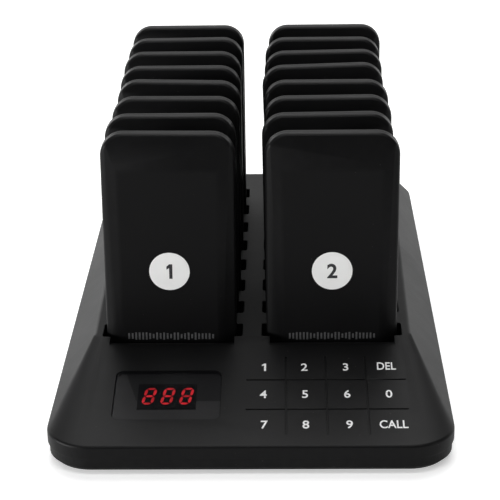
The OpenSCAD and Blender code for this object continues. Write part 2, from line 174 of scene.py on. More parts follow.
def make_handling():
    """Faint smears from fingers, and a sparse settling of dust specks."""
    tree, given, out = new_group(
        "handling", "ShaderNodeTree",
        [("Smear per metre", "NodeSocketFloat", 55.0), ("Specks per metre", "NodeSocketFloat", 420.0)],
        [("Smear", "NodeSocketFloat"), ("Dust", "NodeSocketFloat")])
    place = object_place(tree)
    drawn = add(tree, "ShaderNodeMapping",
                {"Vector": place, "Rotation": (0.4, 0.2, 0.7), "Scale": (1.0, 2.6, 1.4)})
    smear = add(tree, "ShaderNodeTexNoise",
                {"Vector": drawn.outputs[0], "Scale": given[0], "Detail": 6.0, "Distortion": 0.7})
    smear_mask = add(tree, "ShaderNodeMapRange",
                     {"Value": smear.outputs[0], "From Min": 0.45, "From Max": 0.72})
    speck = add(tree, "ShaderNodeTexVoronoi", {"Vector": place, "Scale": given[1]})
    dot = add(tree, "ShaderNodeMapRange",
              {"Value": speck.outputs["Distance"], "From Min": 0.09, "From Max": 0.04})
    chance = math_node(tree, "GREATER_THAN", add(
        tree, "ShaderNodeSeparateColor", {"Color": speck.outputs["Color"]}).outputs[0], 0.86)
    tree.links.new(smear_mask.outputs[0], out[0])
    tree.links.new(math_node(tree, "MULTIPLY", dot.outputs[0], chance), out[1])
    return tree


MOULDED_GRAIN = make_moulded_grain()
EDGE_WEAR = make_edge_wear()
HANDLING = make_handling()


# ---- finishes ----

def new_material(name):
    material = bpy.data.materials.new(name)
    material.use_nodes = True
    tree = material.node_tree
    tree.nodes.clear()
    shader = tree.nodes.new("ShaderNodeBsdfPrincipled")
    output = tree.nodes.new("ShaderNodeOutputMaterial")
    tree.links.new(shader.outputs[0], output.inputs[0])
    return material, tree, shader


def use_group(tree, group, **inputs):
    node = tree.nodes.new("ShaderNodeGroup")
    node.node_tree = group
    for name, value in inputs.items():
        node.inputs[name.replace("_", " ")].default_value = value
    return node.outputs


def blend_colours(tree, amount, first, second):
    return add(tree, "ShaderNodeMix", {0: amount, 6: first, 7: second}, data_type="RGBA").outputs[2]


def rgba(r, g, b):
    return (r, g, b, 1.0)


def put_bump(tree, shader, height, depth):
    bump = add(tree, "ShaderNodeBump", {"Height": height, "Strength": 1.0, "Distance": depth})
    tree.links.new(bump.outputs[0], shader.inputs["Normal"])


def moulded_plastic(name, body, light, rough, gloss, grain, grain_depth, dust=0.25):
    """Textured moulded plastic with worn edges, finger smears and a little dust."""
    material, tree, shader = new_material(name)
    texture = use_group(tree, MOULDED_GRAIN, Grain_per_metre=grain)
    wear = use_group(tree, EDGE_WEAR)
    touched = use_group(tree, HANDLING)
    tone = math_node(tree, "MULTIPLY", texture["Tone"], 0.35)
    tone = math_node(tree, "ADD", tone, math_node(tree, "MULTIPLY", wear["Mask"], 0.6), clamp=True)
    colour = blend_colours(tree, tone, rgba(*body), rgba(*light))
    dusty = math_node(tree, "MULTIPLY", touched["Dust"], dust)
    colour = blend_colours(tree, dusty, colour, rgba(0.22, 0.21, 0.2))
    tree.links.new(colour, shader.inputs["Base Color"])
    roughness = times_plus(tree, touched["Smear"], -0.02, rough)
    roughness = math_node(tree, "ADD", roughness, math_node(tree, "MULTIPLY", texture["Tone"], 0.06))
    tree.links.new(roughness, shader.inputs["Roughness"])
    shader.inputs["Specular IOR Level"].default_value = gloss
    put_bump(tree, shader, texture["Height"], grain_depth)
    return material


def smoked_lens():
    material, tree, shader = new_material("smoked_lens")
    touched = use_group(tree, HANDLING, Smear_per_metre=90.0)
    shader.inputs["Alpha"].default_value = 0.4
    colour = blend_colours(tree, touched["Dust"], rgba(0.004, 0.004, 0.005), rgba(0.1, 0.1, 0.1))
    tree.links.new(colour, shader.inputs["Base Color"])
    roughness = times_plus(tree, touched["Smear"], 0.08, 0.28)
    shader.inputs["Specular IOR Level"].default_value = 0.12
    tree.links.new(roughness, shader.inputs["Roughness"])
    return material


def printed_mask():
    """The sheet under the lens: grey, with painted shade over its upper part right of a slanting line, which
    stands in for the shadow of the window's upper edge.
    """
    material, tree, shader = new_material("printed_mask")
    place = object_place(tree)
    texture = use_group(tree, MOULDED_GRAIN, Grain_per_metre=2600.0, Patch_per_metre=90.0)
    local = add(tree, "ShaderNodeVectorMath", {0: place, 1: (WINDOW_X, HOUSING_LOW.y, APRON_EDGE_Z)},
                operation="SUBTRACT").outputs[0]

    def distance_past(line, start, blend):
        """0 before a line across the sheet and 1 past it; the line is its normal, across and up."""
        toward = (line[0], line[1] * math.cos(APRON_ANGLE), line[1] * math.sin(APRON_ANGLE))
        reach = add(tree, "ShaderNodeVectorMath", {0: local, 1: toward}, operation="DOT_PRODUCT")
        return add(tree, "ShaderNodeMapRange", {"Value": reach.outputs["Value"], "From Min": start,
                                                "From Max": start + blend}).outputs[0]

    # painted shade: the upper part right of a slanting line is darkened, standing in for the shadow of the
    # window's upper edge
    upper = distance_past((0.0, 1.0), 28.2 * MM, 0.4 * MM)
    slanted = distance_past((0.96, 0.28), -3.6 * MM, 0.5 * MM)
    painted_shade = math_node(tree, "MULTIPLY", upper, slanted)
    colour = blend_colours(tree, painted_shade, rgba(0.12, 0.12, 0.122), rgba(0.022, 0.022, 0.023))
    patchy = math_node(tree, "MULTIPLY", texture["Tone"], 0.25)
    colour = blend_colours(tree, patchy, colour, rgba(0.05, 0.05, 0.05))
    tree.links.new(colour, shader.inputs["Base Color"])
    roughness = times_plus(tree, texture["Tone"], 0.1, 0.5)
    tree.links.new(roughness, shader.inputs["Roughness"])
    put_bump(tree, shader, texture["Height"], 0.006 * MM)
    return material


def lit_segment():
    """A lit red segment, brighter in places where its lamp sits behind the diffuser."""
    material, tree, shader = new_material("lit_segment")
    place = object_place(tree)
    glow = add(tree, "ShaderNodeTexNoise", {"Vector": place, "Scale": 420.0, "Detail": 2.0})
    level = add(tree, "ShaderNodeMapRange", {"Value": glow.outputs[0], "From Min": 0.35, "From Max": 0.65})
    colour = blend_colours(tree, level.outputs[0], rgba(0.42, 0.008, 0.014), rgba(0.8, 0.022, 0.034))
    tree.links.new(colour, shader.inputs["Base Color"])
    tree.links.new(colour, shader.inputs["Emission Color"])
    shader.inputs["Emission Strength"].default_value = 1.6
    shader.inputs["Roughness"].default_value = 0.4
    return material


def printed_ink(name, full, thin):
    """Screen-printed ink that covers a little unevenly."""
    material, tree, shader = new_material(name)
    place = object_place(tree)
    cover = add(tree, "ShaderNodeTexNoise", {"Vector": place, "Scale": 1500.0, "Detail": 3.0})
    level = add(tree, "ShaderNodeMapRange", {"Value": cover.outputs[0], "From Min": 0.3, "From Max": 0.5})
    colour = blend_colours(tree, level.outputs[0], rgba(*thin), rgba(*full))
    tree.links.new(colour, shader.inputs["Base Color"])
    tree.links.new(math_node(tree, "MULTIPLY_ADD", cover.outputs[0], 0.2), shader.inputs["Roughness"])
    put_bump(tree, shader, cover.outputs[0], 0.01 * MM)
    return material


def label_vinyl():
    material, tree, shader = new_material("label_vinyl")
    touched = use_group(tree, HANDLING, Smear_per_metre=120.0)
    texture = use_group(tree, MOULDED_GRAIN, Grain_per_metre=1400.0, Patch_per_metre=140.0)
    colour = blend_colours(tree, math_node(tree, "MULTIPLY", texture["Tone"], 0.5),
                           rgba(0.84, 0.84, 0.83), rgba(0.78, 0.78, 0.77))
    dusty = math_node(tree, "MULTIPLY", touched["Dust"], 0.3)
    colour = blend_colours(tree, dusty, colour, rgba(0.3, 0.29, 0.27))
    tree.links.new(colour, shader.inputs["Base Color"])
    roughness = times_plus(tree, touched["Smear"], -0.12, 0.5)
    tree.links.new(roughness, shader.inputs["Roughness"])
    put_bump(tree, shader, texture["Height"], 0.008 * MM)
    return material


def circuit_board(name, tab_top=None):
    """Green solder mask with traces. Below tab_top the bare charging tabs show as brass."""
    material, tree, shader = new_material(name)
    place = object_place(tree)
    tracks = add(tree, "ShaderNodeTexBrick",
                 {"Vector": place, "Scale": 260.0, "Mortar Size": 0.06, "Color1": rgba(0.01, 0.11, 0.04),
                  "Color2": rgba(0.012, 0.14, 0.05), "Mortar": rgba(0.03, 0.24, 0.09)})
    texture = use_group(tree, MOULDED_GRAIN, Grain_per_metre=900.0, Patch_per_metre=80.0)
    colour = blend_colours(tree, math_node(tree, "MULTIPLY", texture["Tone"], 0.4),
                           tracks.outputs[0], rgba(0.008, 0.07, 0.03))
    roughness = times_plus(tree, texture["Tone"], 0.15, 0.28)
    if tab_top is not None:
        height = add(tree, "ShaderNodeSeparateXYZ", {"Vector": place}).outputs[2]
        bare = math_node(tree, "LESS_THAN", height, tab_top)
        colour = blend_colours(tree, bare, colour, rgba(0.78, 0.58, 0.26))
        tree.links.new(bare, shader.inputs["Metallic"])
    tree.links.new(colour, shader.inputs["Base Color"])
    tree.links.new(roughness, shader.inputs["Roughness"])
    put_bump(tree, shader, tracks.outputs["Fac"], 0.03 * MM)
    return material


def plated_metal(name, bright, dull, rough):
    material, tree, shader = new_material(name)
    texture = use_group(tree, MOULDED_GRAIN, Grain_per_metre=3000.0, Patch_per_metre=160.0)
    colour = blend_colours(tree, texture["Tone"], rgba(*bright), rgba(*dull))
    tree.links.new(colour, shader.inputs["Base Color"])
    roughness = times_plus(tree, texture["Tone"], 0.2, rough)
    tree.links.new(roughness, shader.inputs["Roughness"])
    shader.inputs["Metallic"].default_value = 1.0
    put_bump(tree, shader, texture["Height"], 0.006 * MM)
    return material


def studio_floor():
    material, tree, shader = new_material("studio_floor")
    place = object_place(tree)
    paper = add(tree, "ShaderNodeTexNoise", {"Vector": place, "Scale": 6.0, "Detail": 3.0})
    colour = blend_colours(tree, paper.outputs[0], rgba(0.9, 0.9, 0.9), rgba(0.94, 0.94, 0.94))
    tree.links.new(colour, shader.inputs["Base Color"])
    shader.inputs["Roughness"].default_value = 0.9
    shader.inputs["Specular IOR Level"].default_value = 0.1
    tree.links.new(colour, shader.inputs["Emission Color"])
    seen = add(tree, "ShaderNodeLightPath").outputs["Is Camera Ray"]
    tree.links.new(math_node(tree, "MULTIPLY", seen, 0.45), shader.inputs["Emission Strength"])
    return material


# ---- shaping helpers ----

def make_piece(name, mesh, body, material, replaced=None):
    """Puts a finished mesh in the scene as a piece that rides on a body."""
    piece = bpy.data.objects.new(name, mesh)
    bpy.context.scene.collection.objects.link(piece)
    mesh.materials.clear()
    mesh.materials.append(material)
    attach(piece, body)
    if replaced:
        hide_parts(replaced)
    return piece


def smooth_faces(mesh, sharp_angle):
    for polygon in mesh.polygons:
        polygon.use_smooth = True
    mesh.set_sharp_from_angle(angle=math.radians(sharp_angle))


def keep_flats_flat(piece):
    weighted = piece.modifiers.new("flat_faces", "WEIGHTED_NORMAL")
    weighted.mode = "FACE_AREA"
    weighted.keep_sharp = True
    weighted.weight = 60


def edge_turn(edge):
    return edge.calc_face_angle(0.0) if edge.is_manifold else 0.0


def softened_mesh(node, steps):
    """A merged copy of a CAD node's mesh with its edges rounded. Each step is
    (least turn in degrees, which edges, radius, segments)."""
    bm = bmesh.new()
    bm.from_mesh(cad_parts[node].data)
    bmesh.ops.remove_doubles(bm, verts=bm.verts, dist=0.02 * MM)
    bmesh.ops.dissolve_limit(bm, angle_limit=math.radians(0.6), verts=bm.verts, edges=bm.edges)
    for least_turn, wanted, radius, segments in steps:
        edges = [e for e in bm.edges
                 if e.is_convex and edge_turn(e) > math.radians(least_turn) and wanted(e)]
        bmesh.ops.bevel(bm, geom=edges, offset=radius, offset_type="OFFSET", segments=segments,
                        profile=0.5, affect="EDGES", clamp_overlap=False)
        bmesh.ops.remove_doubles(bm, verts=bm.verts, dist=0.03 * MM)
    return plain_mesh(bm, node + "_soft")


def plain_mesh(bm, name):
    mesh = bpy.data.meshes.new(name)
    bm.to_mesh(mesh)
    bm.free()
    return mesh


def thicken(bm, faces, thickness):
    """Pulls flat faces up into a closed plate."""
    top = bmesh.ops.extrude_face_region(bm, geom=faces)
    raised = [v for v in top["geom"] if isinstance(v, bmesh.types.BMVert)]
    bmesh.ops.translate(bm, vec=(0, 0, thickness), verts=raised)
    bmesh.ops.recalc_face_normals(bm, faces=bm.faces)


def apron_place(x, y, z=0.0):
    """The matrix that lays a piece on the apron: x across, y up the slope, z out of it."""
    return (Matrix.Translation((0.0, HOUSING_LOW.y, APRON_EDGE_Z))
            @ Matrix.Rotation(APRON_ANGLE, 4, "X") @ Matrix.Translation((x, y, z)))


def lettering_mesh(name, letters, height, width=None, weight=0.0, narrow=1.0,
                   thickness=PRINT_THICKNESS):
    """Plain lettering as a closed thin plate, centred, facing +Z."""
    curve = bpy.data.curves.new(name, "FONT")
    curve.body = letters
    curve.size = 1.0
    curve.offset = weight
    curve.resolution_u = 4
    curve.align_x = "CENTER"
    curve.extrude = 0.05
    holder = bpy.data.objects.new(name, curve)
    bpy.context.scene.collection.objects.link(holder)
    bpy.context.view_layer.update()
    seen = holder.evaluated_get(bpy.context.evaluated_depsgraph_get())
    mesh = bpy.data.meshes.new_from_object(seen)
    bpy.data.objects.remove(holder)
    low = [min(v.co[k] for v in mesh.vertices) for k in range(3)]
    high = [max(v.co[k] for v in mesh.vertices) for k in range(3)]
    scale = height / (high[1] - low[1])
    across = width / (high[0] - low[0]) if width else scale * narrow
    centre = Vector([-(a + b) / 2 for a, b in zip(low, high)])
    mesh.transform(Matrix.Diagonal((across, scale, thickness / (high[2] - low[2]), 1.0))
                   @ Matrix.Translation(centre))
    mesh.name = name
    return mesh


def one_mesh(name, height, weight, thickness=PRINT_THICKNESS):
    """A plain upright 1 with a flag, as a closed thin plate, centred, facing +Z."""
    stem = 0.05 + 6 * weight
    points = [(-stem / 2, 0), (stem / 2, 0), (stem / 2, 1), (-stem / 2 + 0.01, 1), (-0.27, 0.84),
              (-0.27, 0.84 - stem), (-stem / 2, 0.84 - stem / 2)]
    bm = bmesh.new()
    face = bm.faces.new([bm.verts.new((x, y, -0.5)) for x, y in points])
    thicken(bm, [face], 1.0)
    bmesh.ops.translate(bm, vec=(0.08, -0.5, 0), verts=bm.verts)
    bmesh.ops.scale(bm, vec=(height, height, thickness), verts=bm.verts)
    return plain_mesh(bm, name)


def number_mesh(name, digits, height, weight):
    """A number whose ones are drawn as a plain upright 1 with a flag."""
    meshes, at = [], 0.0
    gap = 0.16 * height
    for digit in digits:
        mesh = (one_mesh(name, height, weight) if digit == "1"
                else lettering_mesh(name, digit, height, weight=weight))
        low = min(v.co.x for v in mesh.vertices)
        width = max(v.co.x for v in mesh.vertices) - low
        mesh.transform(Matrix.Translation((at - low, 0.0, 0.0)))
        at += width + gap
        meshes.append(mesh)
    joined = join_meshes(name, meshes)
    joined.transform(Matrix.Translation((-(at - gap) / 2, 0.0, 0.0)))
    return joined


def join_meshes(name, meshes):
    bm = bmesh.new()
    for mesh in meshes:
        bm.from_mesh(mesh)
    return plain_mesh(bm, name)


def disc_mesh(name, radius, thickness, edge):
    """A thin round label with a rolled edge, facing +Z."""
    bm = bmesh.new()
    bmesh.ops.create_cone(bm, cap_ends=True, segments=64, radius1=radius, radius2=radius, depth=thickness)
    rim = [e for e in bm.edges if all(v.co.z > 0 for v in e.verts)]
    bmesh.ops.bevel(bm, geom=rim, offset=edge, segments=2, profile=0.5, affect="EDGES")
    return plain_mesh(bm, name)


# ---- repeated shapes, as geometry nodes ----

def grown_mesh(name, tree, sizes):
    """Runs a geometry node tree on its own with the sizes given, and returns a plain mesh."""
    holder = bpy.data.objects.new(name, bpy.data.meshes.new(name))
    bpy.context.scene.collection.objects.link(holder)
    modifier = holder.modifiers.new("grow", "NODES")
    modifier.node_group = tree
    for item in tree.interface.items_tree:
        if item.item_type == "SOCKET" and item.in_out == "INPUT" and item.name in sizes:
            modifier[item.identifier] = sizes[item.name]
    bpy.context.view_layer.update()
    seen = holder.evaluated_get(bpy.context.evaluated_depsgraph_get())
    mesh = bpy.data.meshes.new_from_object(seen)
    holder.modifiers.remove(modifier)
    bpy.data.objects.remove(holder)
    return mesh


def vector(tree, x=0.0, y=0.0, z=0.0):
    return add(tree, "ShaderNodeCombineXYZ", {0: x, 1: y, 2: z}).outputs[0]


def segment_digits_tree(material):
    """A row of seven-segment digits, each segment a six-sided bar."""
    tree, given, out = new_group(
        "segment_digits", "GeometryNodeTree",
        [("Geometry", "NodeSocketGeometry", None), ("Digits", "NodeSocketInt", 3),
         ("Pitch", "NodeSocketFloat", 0.007), ("Height", "NodeSocketFloat", 0.0099),
         ("Width", "NodeSocketFloat", 0.0054), ("Bar", "NodeSocketFloat", 0.0011),
         ("Thickness", "NodeSocketFloat", 0.0001)],
        [("Geometry", "NodeSocketGeometry")])
    _, digits, pitch, height, width, bar, thickness = list(given)[:7]
    half_w = math_node(tree, "MULTIPLY", math_node(tree, "SUBTRACT", width, bar), 0.5)
    half_h = math_node(tree, "MULTIPLY", math_node(tree, "SUBTRACT", height, bar), 0.5)
    quarter_h = math_node(tree, "MULTIPLY", half_h, 0.5)
    bar_shape = add(tree, "GeometryNodeMeshCircle", {"Vertices": 6, "Radius": 1.0}, fill_type="NGON")
    bar_solid = add(tree, "GeometryNodeExtrudeMesh", {"Mesh": bar_shape.outputs[0], "Offset Scale": 1.0})
    half_bar = math_node(tree, "MULTIPLY", bar, 0.56)

    def placed(x, y, half_length, upright):
        size = vector(tree, math_node(tree, "MULTIPLY", half_length, 0.9), half_bar, thickness)
        turn = (0.0, 0.0, math.pi / 2) if upright else (0.0, 0.0, 0.0)
        return add(tree, "GeometryNodeTransform",
                   {"Geometry": bar_solid.outputs[0], "Translation": vector(tree, x, y),
                    "Rotation": turn, "Scale": size}).outputs[0]

    minus_w = math_node(tree, "MULTIPLY", half_w, -1.0)
    minus_h = math_node(tree, "MULTIPLY", half_h, -1.0)
    minus_q = math_node(tree, "MULTIPLY", quarter_h, -1.0)
    bars = [placed(0.0, y, half_w, False) for y in (minus_h, 0.0, half_h)]
    bars += [placed(x, y, quarter_h, True) for x in (minus_w, half_w) for y in (minus_q, quarter_h)]
    digit = tree.nodes.new("GeometryNodeJoinGeometry")
    for piece in bars:
        tree.links.new(piece, digit.inputs[0])
    start = math_node(tree, "MULTIPLY", math_node(tree, "SUBTRACT", digits, 1.0),
                      math_node(tree, "MULTIPLY", pitch, -0.5))
    row = add(tree, "GeometryNodeMeshLine",
              {"Count": digits, "Start Location": vector(tree, start), "Offset": vector(tree, pitch)})
    copies = add(tree, "GeometryNodeInstanceOnPoints",
                 {"Points": row.outputs[0], "Instance": digit.outputs[0]})
    real = add(tree, "GeometryNodeRealizeInstances", {"Geometry": copies.outputs[0]})
    done = add(tree, "GeometryNodeSetMaterial", {"Geometry": real.outputs[0], "Material": material})
    tree.links.new(done.outputs[0], out[0])
    return tree


def tick_row_tree(material):
    """A printed row of upright ticks of three heights, mixed by a fixed seed."""
    tree, given, out = new_group(
        "tick_row", "GeometryNodeTree",
        [("Geometry", "NodeSocketGeometry", None), ("Ticks", "NodeSocketInt", 25),
         ("Row Length", "NodeSocketFloat", 0.0335), ("Tick Width", "NodeSocketFloat", 0.0007),
         ("Tick Height", "NodeSocketFloat", 0.0021), ("Thickness", "NodeSocketFloat", 0.00003)],
        [("Geometry", "NodeSocketGeometry")])
    _, ticks, length, tick_width, tick_height, thickness = list(given)[:6]
    gap = math_node(tree, "DIVIDE", length, math_node(tree, "SUBTRACT", ticks, 1.0))
    row = add(tree, "GeometryNodeMeshLine",
              {"Count": ticks, "Start Location": vector(tree, math_node(tree, "MULTIPLY", length, -0.5)),
               "Offset": vector(tree, gap)})
    tick = add(tree, "GeometryNodeMeshCube", {"Size": vector(tree, tick_width, tick_height, thickness)})
    index = add(tree, "GeometryNodeInputIndex").outputs[0]
    chance = add(tree, "FunctionNodeRandomValue", {"ID": index, "Seed": 11}, data_type="FLOAT")
    step = math_node(tree, "SNAP", chance.outputs[1], 0.34)
    tall = times_plus(tree, step, 0.9, 0.9)
    copies = add(tree, "GeometryNodeInstanceOnPoints",
                 {"Points": row.outputs[0], "Instance": tick.outputs[0],
                  "Scale": vector(tree, 1.0, tall, 1.0)})
    real = add(tree, "GeometryNodeRealizeInstances", {"Geometry": copies.outputs[0]})
    done = add(tree, "GeometryNodeSetMaterial", {"Geometry": real.outputs[0], "Material": material})
    tree.links.new(done.outputs[0], out[0])
    return tree


# ---- materials in use ----

HOUSING_PLASTIC = moulded_plastic(
    "housing_plastic", (0.003, 0.003, 0.0032), (0.0065, 0.0065, 0.0068), rough=0.41, gloss=0.13,
    grain=1900.0, grain_depth=0.02 * MM)
TRAY_PLASTIC = moulded_plastic(
    "tray_plastic", (0.0035, 0.0035, 0.0037), (0.0075, 0.0075, 0.0078), rough=0.45, gloss=0.13,
    grain=1900.0, grain_depth=0.02 * MM)
PAGER_PLASTIC = moulded_plastic(
    "pager_plastic", (0.003, 0.003, 0.0032), (0.006, 0.006, 0.0063), rough=0.38, gloss=0.11,
    grain=2600.0, grain_depth=0.012 * MM, dust=0.15)
BLOCK_PLASTIC = moulded_plastic(
    "block_plastic", (0.002, 0.002, 0.0022), (0.004, 0.004, 0.0043), rough=0.4, gloss=0.1,
    grain=2600.0, grain_depth=0.006 * MM, dust=0.1)
MASK_WITH_PAINTED_SHADE = printed_mask()
INLET_PLASTIC = moulded_plastic(
    "inlet_plastic", (0.008, 0.008, 0.008), (0.018, 0.018, 0.018), rough=0.4, gloss=0.45,
    grain=1500.0, grain_depth=0.01 * MM)
FOOT_RUBBER = moulded_plastic(
    "foot_rubber", (0.015, 0.015, 0.015), (0.03, 0.03, 0.03), rough=0.78, gloss=0.3,
    grain=1100.0, grain_depth=0.05 * MM, dust=0.6)
LENS = smoked_lens()
SEGMENT = lit_segment()
KEY_INK = printed_ink("key_ink", (0.8, 0.8, 0.8), (0.55, 0.55, 0.55))
NUMBER_INK = printed_ink("number_ink", (0.012, 0.012, 0.014), (0.04, 0.04, 0.045))
FAINT_INK = printed_ink("faint_ink", (0.065, 0.065, 0.067), (0.03, 0.03, 0.031))
LABEL = label_vinyl()
BOARD = circuit_board("board_green")
WORKS = circuit_board("works_green", tab_top=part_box("pager_01_front_cover")[0].z + 3.4 * MM)
BRASS = plated_metal("contact_brass", (0.83, 0.63, 0.3), (0.62, 0.45, 0.2), rough=0.22)
STEEL = plated_metal("screw_steel", (0.56, 0.57, 0.58), (0.36, 0.37, 0.38), rough=0.3)


# ---- base ----

def lies(edge, test):
    return all(test(v.co) for v in edge.verts)


def on_band_top(p):
    return abs(p.z - APRON_EDGE_Z) < NEAR_CURVE


def on_deck(p):
    return p.z > HOUSING_HIGH.z - NEAR


def on_deck_outline(p):
    return on_deck(p) and (abs(p.x) > DECK_SIDE_X or p.y > DECK_REAR_Y)


def on_apron_side(p):
    flat = apron_place(0.0, 0.0).inverted() @ p
    return abs(flat.z) < NEAR_CURVE and abs(p.x) > DECK_SIDE_X and p.z > APRON_EDGE_Z + 0.1 * MM


def on_pocket_mouth(p):
    return on_deck(p) and abs(p.x) < POCKETS_SIDE_X and DECK_FRONT_Y < p.y < DECK_REAR_Y


def on_skirt(p):
    outside = abs(p.x) > POCKETS_SIDE_X or abs(p.y) > -HOUSING_LOW.y - SKIRT_CORNER
    return abs(p.z - LOWER_HIGH_Z) < NEAR_RIM and outside


def on_key_field(p):
    flat = apron_place(0.0, 0.0).inverted() @ p
    return (abs(flat.z) < NEAR and KEY_FIELD_X[0] < flat.x < KEY_FIELD_X[1]
            and KEY_FIELD_Y[0] < flat.y < KEY_FIELD_Y[1])


def build_housing():
    steps = [
        (25.0, lambda e: lies(e, on_key_field), 0.16 * MM, 2),
        (20.0, lambda e: lies(e, on_band_top), 1.0 * MM, 4),
        (10.0, lambda e: lies(e, on_deck_outline) or lies(e, on_apron_side), 0.9 * MM, 4),
        (60.0, lambda e: lies(e, on_pocket_mouth), 0.4 * MM, 2),
        (60.0, lambda e: lies(e, on_skirt), 0.35 * MM, 2),
    ]
    mesh = softened_mesh("base_upper_housing", steps)
    smooth_faces(mesh, 32.0)
    piece = make_piece("upper_housing_skin", mesh, "base", HOUSING_PLASTIC,
                       replaced="base_upper_housing")
    keep_flats_flat(piece)


def build_key_legends():
    legends = [("1", 4.9, 46.9), ("2", 20.5, 46.9), ("3", 36.5, 46.9), ("DEL", 52.3, 47.4),
               ("4", 4.8, 30.3), ("5", 20.6, 30.3), ("6", 36.6, 30.3), ("0", 52.4, 30.3),
               ("7", 5.3, 12.4), ("8", 20.7, 12.4), ("9", 36.9, 12.4), ("CALL", 53.3, 12.4)]
    widths = {"DEL": 7.3 * MM, "CALL": 10.6 * MM}
    for letters, x, y in legends:
        name = "legend_" + letters
        if letters == "1":
            mesh = number_mesh(name, letters, KEY_LEGEND_HEIGHT, weight=0.02)
        else:
            mesh = lettering_mesh(name, letters, KEY_LEGEND_HEIGHT, widths.get(letters), weight=0.014,
                                  narrow=0.86)
        mesh.transform(apron_place(x * MM, y * MM, 0.016 * MM))
        make_piece(name, mesh, "base", KEY_INK)


def mask_mesh():
    """A thin sheet under the lens, open over the digit block, drawn on the apron."""
    cut = 1.9 * MM
    gap = 0.1 * MM
    hole_half_w, hole_shift = 11.2 * MM, 0.2 * MM
    hole_low, hole_high = -7.1 * MM, 8.4 * MM
    half_w, half_l = WINDOW_W / 2 - gap, WINDOW_L / 2 - gap
    outer = [(half_w, -half_l + cut), (half_w, half_l - cut),
             (half_w - cut, half_l), (-half_w + cut, half_l),
             (-half_w, half_l - cut), (-half_w, -half_l + cut),
             (-half_w + cut, -half_l), (half_w - cut, -half_l)]
    hole = [(side * hole_half_w - hole_shift, y) for side, y in
            ((1, hole_low), (1, hole_high), (-1, hole_high), (-1, hole_low))]
    bm = bmesh.new()
    outer = [bm.verts.new((x, y, 0.0)) for x, y in outer]
    hole = [bm.verts.new((x, y, 0.0)) for x, y in hole]
    for k in range(4):
        a, b, c = outer[2 * k], outer[2 * k + 1], outer[(2 * k + 2) % 8]
        bm.faces.new((hole[k], a, b, hole[(k + 1) % 4]))
        bm.faces.new((hole[(k + 1) % 4], b, c))
    thicken(bm, bm.faces[:], PRINT_THICKNESS)
    mesh = plain_mesh(bm, "display_mask_with_painted_shade")
    mesh.transform(apron_place(WINDOW_X, WINDOW_Y, -MASK_DROP))
    return mesh


def build_display():
    lean = 0.15
    slant = Matrix(((1.0, lean, 0.0, 0.0), (0.0, 1.0, 0.0, 0.0), (0.0, 0.0, 1.0, 0.0), (0.0, 0.0, 0.0, 1.0)))
    digits = grown_mesh("display_digits", segment_digits_tree(SEGMENT),
                        {"Digits": 3, "Pitch": 7.1 * MM, "Height": 9.9 * MM, "Width": 4.5 * MM,
                         "Bar": 1.1 * MM, "Thickness": 0.06 * MM})
    digits.transform(apron_place(DIGITS_X, DIGITS_Y, 0.005 * MM - DIGITS_DROP) @ slant)
    make_piece("display_digits", digits, "base", SEGMENT)
    lens = softened_mesh("display_window", [(40.0, lambda e: True, 0.25 * MM, 2)])
    smooth_faces(lens, 35.0)
    keep_flats_flat(make_piece("display_lens", lens, "base", LENS, replaced="display_window"))
    make_piece("display_mask_with_painted_shade", mask_mesh(), "base", MASK_WITH_PAINTED_SHADE)


def build_base():
    build_housing()
    build_key_legends()
    build_display()
    finishes = {"base_lower_housing": TRAY_PLASTIC, "display_module": BLOCK_PLASTIC,
                "touch_board": BOARD, "main_board": BOARD, "charging_boards": BOARD,
                "charging_studs": BRASS, "aerial": BRASS, "power_inlet": INLET_PLASTIC,
                "housing_screws": STEEL, "rubber_feet": FOOT_RUBBER}
    for node, material in finishes.items():
        paint_node(node, material)


def paint_node(node, material):
    for material_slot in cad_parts[node].material_slots:
        material_slot.material = material


# ---- pagers ----

def panel_place(number):
    """The matrix that lays a piece on a pager's front panel: x across, y up the panel,
    z out of it, from the middle of the panel's lower edge."""
    corners = [v.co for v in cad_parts[f"pager_{number:02d}_front_cover"].data.vertices]
    face_y = min(c.y for c in corners)
    panel = [c for c in corners if c.y < face_y + 0.01 * MM]
    left = min(panel, key=lambda c: c.x + c.z)
    right = max(panel, key=lambda c: c.x - c.z)
    across = (right - left).normalized()
    out = Vector((0.0, -1.0, 0.0))
    up = out.cross(across)
    place = Matrix((across, up, out)).transposed().to_4x4()
    place.translation = (left + right) / 2
    return place


def outline_gap(x, y):
    """How far a point is inside a pager's outline, seen from the front."""
    to_side = PAGER_SIZE.x / 2 - abs(x)
    to_end = PAGER_SIZE.z / 2 - abs(y - PAGER_SIZE.z / 2)
    if to_side < PAGER_CORNER and to_end < PAGER_CORNER:
        return PAGER_CORNER - math.hypot(PAGER_CORNER - to_side, PAGER_CORNER - to_end)
    return min(to_side, to_end)


def pager_steps(place, panel_depth):
    """Which edges of a cover are rounded: its rim, its panel's lines and its parting line."""
    back = place.inverted()

    def local(p):
        q = back @ p
        return q.x, q.y + PANEL_RISE, q.z

    def on_rim(p):
        x, y, z = local(p)
        return outline_gap(x, y) < NEAR_RIM and abs(z + PANEL_FRONT) > 0.5 * MM

    def on_panel(p):
        return abs(local(p)[2] - panel_depth) < NEAR

    def on_parting(p):
        x, y, z = local(p)
        return outline_gap(x, y) < NEAR_RIM and abs(z + PANEL_FRONT) < NEAR and (
            y > 1.0 * MM or abs(x) > 11.0 * MM)

    return [(6.0, lambda e: lies(e, on_panel), 1.3 * MM, 4),
            (15.0, lambda e: lies(e, on_rim), 1.2 * MM, 4),
            (60.0, lambda e: lies(e, on_parting), 0.14 * MM, 1)]


